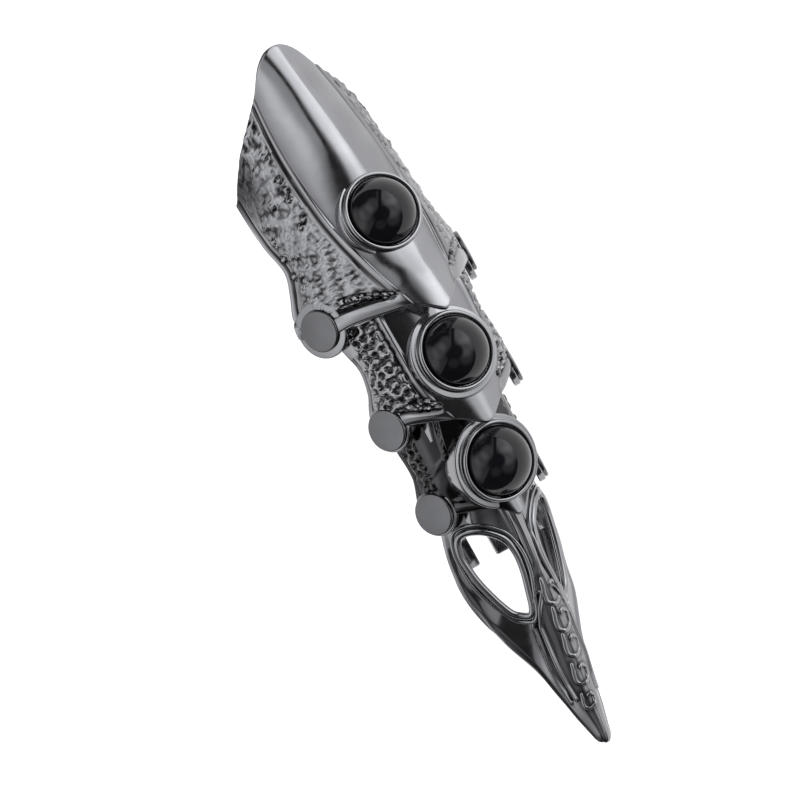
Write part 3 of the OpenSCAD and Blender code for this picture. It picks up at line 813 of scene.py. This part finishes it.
def bezel(hinge):
    roll_r = (BEZEL_R - CUP_R) / 2
    step_r = STEP_R[hinge]
    profile = [(0, FOOT_Z), (step_r, FOOT_Z)]
    profile += arc_points(step_r - STEP_ROUND, -STEP_DROP - STEP_ROUND, STEP_ROUND, 0, 90, 6)
    profile += arc_points(BEZEL_R + COVE_GAP, -STEP_DROP + COVE_R, COVE_R, 270, 180, 5)
    profile += arc_points(BEZEL_R - roll_r, -roll_r, roll_r, -20, 200, 14)
    profile += [(CUP_R, WALL_TOP_Z), (CUP_R, -CUP_DEPTH), (0, -CUP_DEPTH)]
    obj = turned(f"bezel_{hinge}", profile, at_bezel(hinge), 120)
    along_finger = move(*PIVOT[hinge]) @ move(0, 0, ROOF_Z[hinge] - BORE_R) @ turn_y(pi / 2)
    cut(obj, cylinder(BORE_R, -45, 45, along_finger, 160))
    return obj


def cut(obj, tool):
    modifier = obj.modifiers.new("cut", "BOOLEAN")
    modifier.operation = "DIFFERENCE"
    modifier.solver = "MANIFOLD"
    modifier.object = tool
    graph = bpy.context.evaluated_depsgraph_get()
    mesh = bpy.data.meshes.new_from_object(obj.evaluated_get(graph))
    obj.modifiers.clear()
    obj.data = mesh
    bpy.data.objects.remove(tool)


def stone(hinge):
    ball_r = (STONE_R ** 2 + DOME_H ** 2) / (2 * DOME_H)
    middle_z = GIRDLE_Z + DOME_H - ball_r
    rim_angle = degrees(acos(STONE_R / ball_r))
    profile = [(0, STONE_FOOT_Z), (STONE_R - STONE_BEVEL_W, STONE_FOOT_Z), (STONE_R, STONE_BEVEL_Z)]
    profile.append((STONE_R, GIRDLE_Z - GIRDLE_DROP))
    profile += arc_points(0, middle_z, ball_r, rim_angle, 90, 40)[:-1] + [(0, middle_z + ball_r)]
    return turned(f"{hinge}_gem", profile, at_bezel(hinge), 128)


# Rivet head with a rounded edge, and its shank
def rivet(hinge, side):
    half_w = HALF_W[hinge]
    top = HEAD_H + HEAD_PROUD
    head_r = HEAD_R - HEAD_ROUND
    head = [(0, 0), (HEAD_R - FOOT_W, 0), (HEAD_R, FOOT_H)]
    head += arc_points(head_r, top - HEAD_CROWN - HEAD_ROUND, HEAD_ROUND, 0, 80, 6)
    head += [(r, top - HEAD_CROWN * (r / head_r) ** 2) for r in np.linspace(head_r, 0, 12)]
    name = f"{hinge}_rivet_{'right' if side > 0 else 'left'}_fine"
    obj = turned(name, head, at_head(hinge, side, HEAD_GAP), 96)
    inner = half_w - (HEAD_H + LUG_H + EAR_GAP + SINK[hinge] + EAR_H) / cos(LEAN) - SHANK_PAST
    outer = half_w - HEAD_H
    place = move(*PIVOT[hinge]) @ turn_x(-pi / 2 * side) @ move(0, 0, inner)
    length = outer - inner
    shank = [(0, 0), (SHANK_R - SHANK_TIP, 0), (SHANK_R, SHANK_TIP), (SHANK_R, length), (0, length)]
    join(obj, [turned("shank", shank, place, 40)])
    if side < 0:
        face_outward(obj)
    return obj


def face_outward(obj):
    bm = bmesh.new()
    bm.from_mesh(obj.data)
    bmesh.ops.recalc_face_normals(bm, faces=bm.faces[:])
    bm.to_mesh(obj.data)
    bm.free()


def join(obj, others):
    bm = bmesh.new()
    for o in [obj] + others:
        face_outward(o)
        bm.from_mesh(o.data)
    bm.to_mesh(obj.data)
    bm.free()
    for o in others:
        bpy.data.objects.remove(o)
    return obj


# Faces between rings of points, closed into a ring or capped at both ends
def tube_faces(rings, sides, ring=False):
    faces = []
    for i in range(rings if ring else rings - 1):
        j = (i + 1) % rings
        for k in range(sides):
            m = (k + 1) % sides
            faces.append([i * sides + k, i * sides + m, j * sides + m, j * sides + k])
    if not ring:
        faces.append(list(range(sides)))
        faces.append([(rings - 1) * sides + k for k in range(sides)][::-1])
    return faces


# Split bands: thickness, opening below the finger and rounding of the section's corners, and how much
# thinner and narrower an open end gets over its last steps
BAND_H, BAND_OPENING, BAND_CORNER = 1.0, 3.0, 0.3
END_THINNING, END_NARROWING, END_STEPS = 0.3, 0.06, 2


# Both halves of a band round the finger, from the opening up to top_z
def band(name, pivot, inner_r, x, z, top_z, width):
    near, far = BAND_CORNER, width - BAND_CORNER
    low, high = inner_r + BAND_CORNER, inner_r + BAND_H - BAND_CORNER
    section = []
    for cx, cr, start in ((far, high, 0), (near, high, 90), (near, low, 180), (far, low, 270)):
        section += arc_points(cx, cr, BAND_CORNER, start, start + 90, 5)
    middle_r = inner_r + BAND_H / 2
    end = atan2(BAND_OPENING / 2, middle_r)
    top = acos(max(-1, min(1, (z - top_z) / middle_r)))
    objs = []
    for side in (1, -1):
        angles = np.linspace(end, top, 72)
        points = []
        for i, t in enumerate(angles):
            closing = max(0, 1 - i / END_STEPS)
            thinner = 1 - END_THINNING * closing ** 2
            narrower = 1 - END_NARROWING * closing
            for cx, r in section:
                rr = middle_r + (r - middle_r) * thinner
                px = x + width / 2 + (cx - width / 2) * narrower
                points.append((px, side * rr * sin(t), z - rr * cos(t)))
        faces = tube_faces(len(angles), len(section))
        objs.append(make(f"{name}_{side}", np.array(points) + pivot, faces))
    return objs


# Round bar along a path of points, closed into a ring or with flat ends
def bar(name, path, radius, out, ring, sides=14, flatten=1.0):
    path = np.array(path, float)
    n = len(path)
    if ring:
        ahead = unit(np.roll(path, -1, 0) - np.roll(path, 1, 0))
    else:
        ahead = unit(np.gradient(path, axis=0))
    out = np.broadcast_to(np.array(out, float), path.shape)
    lift = unit(out - ahead * np.sum(out * ahead, -1, keepdims=True))
    across = np.cross(ahead, lift)
    radii = np.full(n, radius) if np.isscalar(radius) else np.array(radius)
    turn = np.linspace(0, 2 * pi, sides, endpoint=False)
    cos_turn, sin_turn = np.cos(turn)[None, :, None], np.sin(turn)[None, :, None]
    spokes = flatten * cos_turn * lift[:, None] + sin_turn * across[:, None]
    points = path[:, None] + radii[:, None, None] * spokes
    return make(name, points.reshape(-1, 3), tube_faces(n, sides, ring))


# Path through points, smoothed and evenly spaced
def smooth_path(points, count, ring):
    points = np.array(points, float)
    n = len(points)
    out = []
    spans = n if ring else n - 1
    for i in range(spans):
        p0 = points[(i - 1) % n] if ring or i > 0 else points[0]
        p1 = points[i]
        p2 = points[(i + 1) % n]
        p3 = points[(i + 2) % n] if ring or i < n - 2 else points[-1]
        for k in np.linspace(0, 1, 12, endpoint=False):
            out.append(0.5 * (2 * p1 + (p2 - p0) * k + (2 * p0 - 5 * p1 + 4 * p2 - p3) * k ** 2
                              + (3 * p1 - p0 - 3 * p2 + p3) * k ** 3))
    out.append(out[0] if ring else points[-1])
    return spread(out, count, not ring)


# Claw windows, as in the CAD
WINDOW_LEAN = radians(26)
WINDOW = [
    (4.0, -5.2), (4.9, -3.2), (6.8, -1.5), (8.8, -1.1), (11.2, -1.35), (13.7, -1.9), (15.6, -2.4),
    (16.5, -3.0), (16.2, -3.9), (15.3, -4.9), (13.6, -5.6), (11.3, -6.2), (8.8, -6.7), (6.4, -6.9),
    (4.5, -6.4),
]
WINDOW_MIDDLE = np.array([10, -4])
WINDOW_HALVINGS = 24
CLAW_LENGTH = 35.7
# Bars round each window: distance outside it, radius and lift off the skin, and their outward tilt
FRAME_BARS = [(0.3, 0.5, 0.0), (1.15, 0.26, 0.08)]
FRAME_TILT = radians(40)
# Painted shade round the scrolls, where the ground lies recessed: how dark, and how far from a scroll's line
SCROLL_SHADE_DARK, SCROLL_SHADE_W = 0.85, 1.0


# The window's outline on the skin, the given distance outside it
def window_path(offset):
    path = []
    for q in smooth_path(WINDOW, 120, True):
        x, r = q + offset * unit(q - WINDOW_MIDDLE)

        def point(middle):
            return skin("claw", np.array(x / CLAW_LENGTH), np.array(middle))

        path.append(halved(WINDOW_HALVINGS, point, sin(WINDOW_LEAN), cos(WINDOW_LEAN), r))
    return np.array(path)


def claw():
    outer, inner, painted_shade_and_patina = plate_grids("claw")
    scroll_paths = [scroll_path(pixel, size) for pixel, size in zip(SCROLL_PX, SCROLL_SIZE)]
    for path in scroll_paths:
        # Painted shade on the ground round each scroll
        painted_shade_and_patina = np.maximum(painted_shade_and_patina, SCROLL_SHADE_DARK * bump(line_distance(outer, path[::3]), SCROLL_SHADE_W))
    body = shell("claw_fine", outer, inner, painted_shade_and_patina, PIVOT["claw"])
    outline = smooth_path(WINDOW, 90, True)
    tool_start, tool_h, tool_bevel = -3.5, 9, 0.0001
    for side in (-1, 1):
        # The windows' lean is measured on the left side, where y is negative
        m = move(*PIVOT["claw"]) @ turn_x(WINDOW_LEAN)
        if side > 0:
            m = MIRROR @ m
        tool = flat_piece("tool", outline, tool_h, m @ move(0, 0, tool_start), tool_bevel)
        face_outward(tool)
        cut(body, tool)
    parts = []
    for side in (-1, 1):
        flipped = np.array([1, side, 1])
        out = unit(np.array([0, cos(FRAME_TILT), sin(FRAME_TILT)]))
        for offset, radius, lift in FRAME_BARS:
            path = window_path(offset) + out * lift
            parts.append(bar("frame", path * flipped + PIVOT["claw"], radius, out * flipped, True))
        parts.append(ear("third", side))
        parts.append(rim_roll(side))
    for path, size in zip(scroll_paths, SCROLL_SIZE):
        parts.append(scroll(path, size))
    parts += band("tip_band", PIVOT["claw"], inner_r=5.9, x=3.8, z=-3.5, top_z=-3.6, width=4.6)
    return join(body, parts)


# Scrolls on the claw's crest: the stroke of one scroll from its middle, in millimetres along and across
SCROLL_STROKE = [
    (-2.2, -0.8), (-1.2, -0.85), (0, -1.0), (1.1, -0.9), (1.6, -0.25), (1.25, 0.6), (0.35, 1.0),
    (-0.6, 1.05), (-1.15, 0.65), (-1.05, 0.15), (-0.5, 0.0),
]
SCROLL_PX = [(549.2, 591.6), (560, 619.5), (569.9, 645.6), (578.9, 674.4), (587, 701.4)]
SCROLL_SIZE = [1.0, 0.95, 0.9, 0.82, 0.6]
# Radius of the strokes, their lift off the crest, the extra in the middle, and how blunt and thin they end
SCROLL_R, SCROLL_LIFT, SCROLL_MORE, BLUNTNESS, END_AREA = 0.34, 0.16, 0.1, 12, 0.04


def scroll_path(pixel, size):
    x, r = pixel_place("claw", pixel)
    rows = SECTIONS["claw"]
    middle_y = (r - SEEN_Z * float(curve(rows, x, CREST_Z))) / SEEN_Y
    path = []
    for along, across in smooth_path(SCROLL_STROKE, 60, False):
        px = x + along * size
        py = middle_y + across * size / SEEN_Y
        crest_z, border_y, border_z = [float(curve(rows, px, column)) for column in COLUMNS[:3]]
        k = abs(py) / border_y
        path.append((px, py, crest_z + (border_z - crest_z) * k + SCROLL_LIFT + SCROLL_MORE * (1 - k)))
    return np.array(path)


def scroll(path, size):
    taper = np.sqrt(np.clip(1 - np.abs(np.linspace(-1, 1, len(path))) ** BLUNTNESS, END_AREA, 1))
    return bar("scroll", path + PIVOT["claw"], SCROLL_R * size ** 0.5 * taper, (0, 0, 1), False, 12)


# Inward roll along the claw's lower edge: start and end as shares of its length, half width, drop below the
# edge and flatness
ROLL_START, ROLL_END, ROLL_W, ROLL_DROP, ROLL_FLATNESS = 0.07, 0.62, 1.35, 0.1, 0.34


def rim_roll(side):
    a = np.linspace(ROLL_START, ROLL_END, 60)
    path = skin("claw", a, np.ones_like(a))
    path[:, 1] = (path[:, 1] - ROLL_W) * side
    path[:, 2] -= ROLL_DROP
    width = ROLL_W * np.clip(np.sin(np.linspace(0, pi, 60)), 0.02, 1) ** 0.7
    return bar("rim_roll", path + PIVOT["claw"], width, (0, 0, 1), False, 16, ROLL_FLATNESS)


# Plate with its bezel, its lugs and what else is cast with it
def plate(hinge, more):
    outer, inner, painted_shade_and_patina = plate_grids(hinge)
    body = shell(hinge + "_plate_fine", outer, inner, painted_shade_and_patina, PIVOT[hinge])
    cup_top = 8
    cut(body, cylinder(CUP_R + BEZEL_OVERLAP, -CUP_DEPTH - BEZEL_OVERLAP, cup_top, at_bezel(hinge), 120))
    for side in (1, -1):
        seat = cylinder(HEAD_R + SEAT_GAP, 0, SEAT_H, at_head(hinge, side), 96)
        face_outward(seat)
        cut(body, seat)
    return join(body, [bezel(hinge)] + [lug(hinge, side) for side in (1, -1)] + more)


def ears(hinge):
    return [ear(hinge, side) for side in (1, -1)]


# Materials
def new_material(name):
    material = bpy.data.materials.new(name)
    material.use_nodes = True
    tree = material.node_tree
    return material, tree, tree.nodes["Principled BSDF"]


def add(tree, kind, **values):
    node = tree.nodes.new(kind)
    for key, value in values.items():
        if hasattr(node, key):
            setattr(node, key, value)
        else:
            node.inputs[key.replace("_", " ")].default_value = value
    return node


def noise(tree, coord, scale, detail):
    node = add(tree, "ShaderNodeTexNoise", Scale=scale, Detail=detail)
    tree.links.new(coord.outputs["Object"], node.inputs["Vector"])
    return node.outputs["Fac"]


def ramp(tree, value, colors, places):
    node = add(tree, "ShaderNodeValToRGB")
    for element, color, place in zip(node.color_ramp.elements, colors, places):
        element.position = place
        element.color = (*color, 1)
    tree.links.new(value, node.inputs["Fac"])
    return node.outputs["Color"]


# Polished black nickel: dark metal with faint clouds, uneven polish, a fine ripple, and painted shade in
# recesses and round the scrolls, with patina
def gunmetal(name, light, dark, rough, ripple_strength):
    material, tree, shader = new_material(name)
    shader.inputs["Metallic"].default_value = 1.0
    link = tree.links.new
    coord = add(tree, "ShaderNodeTexCoord")
    clouds = noise(tree, coord, 160.0, 4.0)
    tint = ramp(tree, clouds, (dark, light), (0.3, 0.7))
    painted_shade_and_patina = add(tree, "ShaderNodeAttribute", attribute_name="painted_shade_and_patina")
    shade = add(tree, "ShaderNodeMix", data_type="RGBA")
    link(painted_shade_and_patina.outputs["Fac"], shade.inputs["Factor"])
    link(tint, shade.inputs["A"])
    # Near-black of the painted shade and the patina
    shade.inputs["B"].default_value = (0.02, 0.019, 0.02, 1)
    link(shade.outputs["Result"], shader.inputs["Base Color"])
    wear = noise(tree, coord, 700.0, 3.0)
    polish = add(tree, "ShaderNodeMapRange", From_Min=0.3, From_Max=0.7, To_Min=rough[0], To_Max=rough[1])
    link(wear, polish.inputs["Value"])
    link(polish.outputs["Result"], shader.inputs["Roughness"])
    ripple = noise(tree, coord, 420.0, 3.0)
    relief = add(tree, "ShaderNodeBump", Strength=ripple_strength, Distance=0.0002)
    link(ripple, relief.inputs["Height"])
    link(relief.outputs["Normal"], shader.inputs["Normal"])
    return material


def black_stone():
    material, tree, shader = new_material("black_stone")
    shader.inputs["IOR"].default_value = 1.5
    shader.inputs["Specular IOR Level"].default_value = 0.36
    link = tree.links.new
    coord = add(tree, "ShaderNodeTexCoord")
    veins = noise(tree, coord, 300.0, 3.0)
    tint = ramp(tree, veins, ((0.003, 0.003, 0.004), (0.009, 0.008, 0.011)), (0, 1))
    link(tint, shader.inputs["Base Color"])
    rough = add(tree, "ShaderNodeMapRange", To_Min=0.04, To_Max=0.09)
    link(veins, rough.inputs["Value"])
    link(rough.outputs["Result"], shader.inputs["Roughness"])
    return material


plate_metal = gunmetal("black_nickel", (0.28, 0.28, 0.29), (0.23, 0.23, 0.24), (0.1, 0.17), 0.05)
rivet_metal = gunmetal("rivet_nickel", (0.14, 0.14, 0.145), (0.115, 0.115, 0.12), (0.18, 0.25), 0.02)
gem = black_stone()
# Angle from which an edge is shaded sharp
SHARP_ANGLE = radians(48)


def finish_piece(obj, material, slot, body, *nodes):
    obj.data.materials.clear()
    obj.data.materials.append(material)
    obj.data.shade_smooth()
    obj.data.set_sharp_from_angle(angle=SHARP_ANGLE)
    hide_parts(*nodes)
    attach(obj, body)


finger_band = band("finger_band", PIVOT["knuckle"], inner_r=8.7, x=-18, z=-2.6, top_z=-0.6, width=6.0)
for hinge, more in (("knuckle", finger_band), ("second", ears("knuckle")), ("third", ears("second"))):
    finish_piece(plate(hinge, more), plate_metal, "plate_metal", hinge, hinge + "_plate")
finish_piece(claw(), plate_metal, "plate_metal", "claw", "claw")
for hinge in ("knuckle", "second", "third"):
    finish_piece(stone(hinge), gem, "stone", hinge, hinge + "_stone")
    for side, word in ((1, "right"), (-1, "left")):
        finish_piece(rivet(hinge, side), rivet_metal, "rivet_metal", hinge, f"{hinge}_rivet_{word}")

# Floor, with half its side in metres
FLOOR = 0.6
floor_mesh = bpy.data.meshes.new("floor")
floor_corners = [(-FLOOR, -FLOOR, 0), (FLOOR, -FLOOR, 0), (FLOOR, FLOOR, 0), (-FLOOR, FLOOR, 0)]
floor_mesh.from_pydata(floor_corners, [], [(0, 1, 2, 3)])
floor = in_scene("floor", floor_mesh)
floor_material, tree, shader = new_material("pale_floor")
floor_look = {"Base Color": (0.93, 0.93, 0.93, 1), "Roughness": 0.8,
              "Emission Color": (1, 1, 1, 1), "Emission Strength": 0.75}
for socket, value in floor_look.items():
    shader.inputs[socket].default_value = value
floor.data.materials.append(floor_material)

# Camera: the photograph's direction, carried over to the lying ring
IMAGE_PX = 800
MIDDLE_PX = np.array([400, 400])
LENS_MM, SENSOR_MM = 900, 36
field_mm = IMAGE_PX / PX_PER_MM
distance_mm = LENS_MM * field_mm / SENSOR_MM
offset = (MIDDLE_PX - HINGE_PX) / PX_PER_MM
along_mm = offset @ PX_ALONG
across_mm = offset @ PX_ACROSS
right_own = Vector((PX_ALONG[0], PX_ACROSS[0] * SEEN_Y, PX_ACROSS[0] * SEEN_Z)).normalized()
up_own = -Vector((PX_ALONG[1], PX_ACROSS[1] * SEEN_Y, PX_ACROSS[1] * SEEN_Z)).normalized()
back_own = right_own.cross(up_own).normalized()
FOCUS_DEPTH = -2.0
target_own = Vector((along_mm, across_mm * SEEN_Y, across_mm * SEEN_Z)) + FOCUS_DEPTH * back_own
eye_own = target_own + distance_mm * back_own
turn = LIE.to_3x3() * (1 / MM)
camera_data = bpy.data.cameras.new("camera")
camera_data.lens = LENS_MM
camera_data.sensor_width = SENSOR_MM
camera_data.clip_start = 0.01
camera_data.clip_end = 20
camera = in_scene("camera", camera_data)
right, up, back = turn @ right_own, turn @ up_own, turn @ back_own
camera.matrix_world = Matrix.Translation(LIE @ eye_own) @ Matrix((right, up, back)).transposed().to_4x4()
bpy.context.scene.camera = camera


# Studio: soft boxes round the object, with a dark gap between left and right that widens downward, and a
# dark round in front. Directions are fixed in the scene, as right, up and toward.
world = bpy.data.worlds.new("studio")
world.use_nodes = True
bpy.context.scene.world = world
world_tree = world.node_tree
link = world_tree.links.new
background = world_tree.nodes["Background"]
sky = add(world_tree, "ShaderNodeTexCoord")


# Sets a socket to a number, or links it to another node's output
def feed(socket, value):
    if isinstance(value, (int, float)):
        socket.default_value = value
    else:
        link(value, socket)


def maths(operation, *values):
    node = add(world_tree, "ShaderNodeMath", operation=operation)
    for socket, value in zip(node.inputs, values):
        feed(socket, value)
    return node.outputs["Value"]


# Cosine of the angle between a looked-at direction and a fixed one
def facing(rightward, upward, toward):
    way = (right * rightward + up * upward + back * toward).normalized()
    dot = add(world_tree, "ShaderNodeVectorMath", operation="DOT_PRODUCT")
    link(sky.outputs["Generated"], dot.inputs[0])
    dot.inputs[1].default_value = way
    return dot.outputs["Value"]


def soft_step(value, start, end):
    node = add(world_tree, "ShaderNodeMapRange", interpolation_type="SMOOTHSTEP")
    for name, number in (("From Min", start), ("From Max", end), ("Value", value)):
        feed(node.inputs[name], number)
    return node.outputs["Result"]


# Soft box round a direction: full inside one angle and gone outside another, in degrees
def soft_box(way, full, gone, strength):
    return maths("MULTIPLY", soft_step(facing(*way), cos(radians(gone)), cos(radians(full))), strength)


RIGHT_BOX = ((0.6, 0.28, 0.75), 6, 36, 1.3)
SIDE_BOX = ((0.8, 0.6, 0), 22, 46, 1.0)
UP_BOX = ((0.38, 0.8, 0.45), 10, 36, 1.9)
TOP_BOX = ((-0.35, 0.45, 0.82), 8, 30, 0.85)
LEFT_BOX = ((-0.68, 0.08, 0.73), 6, 30, 1.15)
LOW_LEFT_BOX = ((-0.92, -0.28, 0.22), 12, 38, 1.1)
LOW_RIGHT_BOX = ((0.68, -0.22, 0.7), 8, 30, 0.5)
LOW_BOX = ((-0.45, -0.7, 0.55), 10, 42, 0.6)
# Weak box in front, which the gap and the dark round don't cover
FRONT_BOX = ((0.05, -0.57, 0.82), 8, 20, 0.27)
FILL = 0.05
# Gap's half width straight ahead, how fast it narrows upward, its least half width and its soft edge
GAP_W, GAP_NARROWING, GAP_LEAST, GAP_EDGE = 0.07, 0.42, 0.045, 0.06
# Direction of the dark round, and the angles at which it is fully dark and gone, in degrees
DARK_WAY, DARK_FULL, DARK_GONE = (0.19, 0.04, 0.98), 15, 27

side_off = maths("ABSOLUTE", facing(1, 0, 0))
narrowed = maths("SUBTRACT", GAP_W, maths("MULTIPLY", facing(0, 1, 0), GAP_NARROWING))
gap_width = maths("MAXIMUM", narrowed, GAP_LEAST)
beside_gap = soft_step(side_off, gap_width, maths("ADD", gap_width, GAP_EDGE))
round_camera = soft_step(facing(*DARK_WAY), cos(radians(DARK_FULL)), cos(radians(DARK_GONE)))
open_sky = maths("MULTIPLY", beside_gap, round_camera)
boxes = soft_box(*RIGHT_BOX)
for box in (SIDE_BOX, UP_BOX, TOP_BOX, LEFT_BOX, LOW_LEFT_BOX, LOW_RIGHT_BOX, LOW_BOX):
    boxes = maths("ADD", boxes, soft_box(*box))
boxes = maths("ADD", maths("MULTIPLY", boxes, open_sky), soft_box(*FRONT_BOX))
strength = maths("ADD", boxes, FILL)
link(strength, background.inputs["Strength"])
background.inputs["Color"].default_value = (0.97, 0.98, 1.0, 1)
bpy.context.scene.view_settings.view_transform = "Standard"
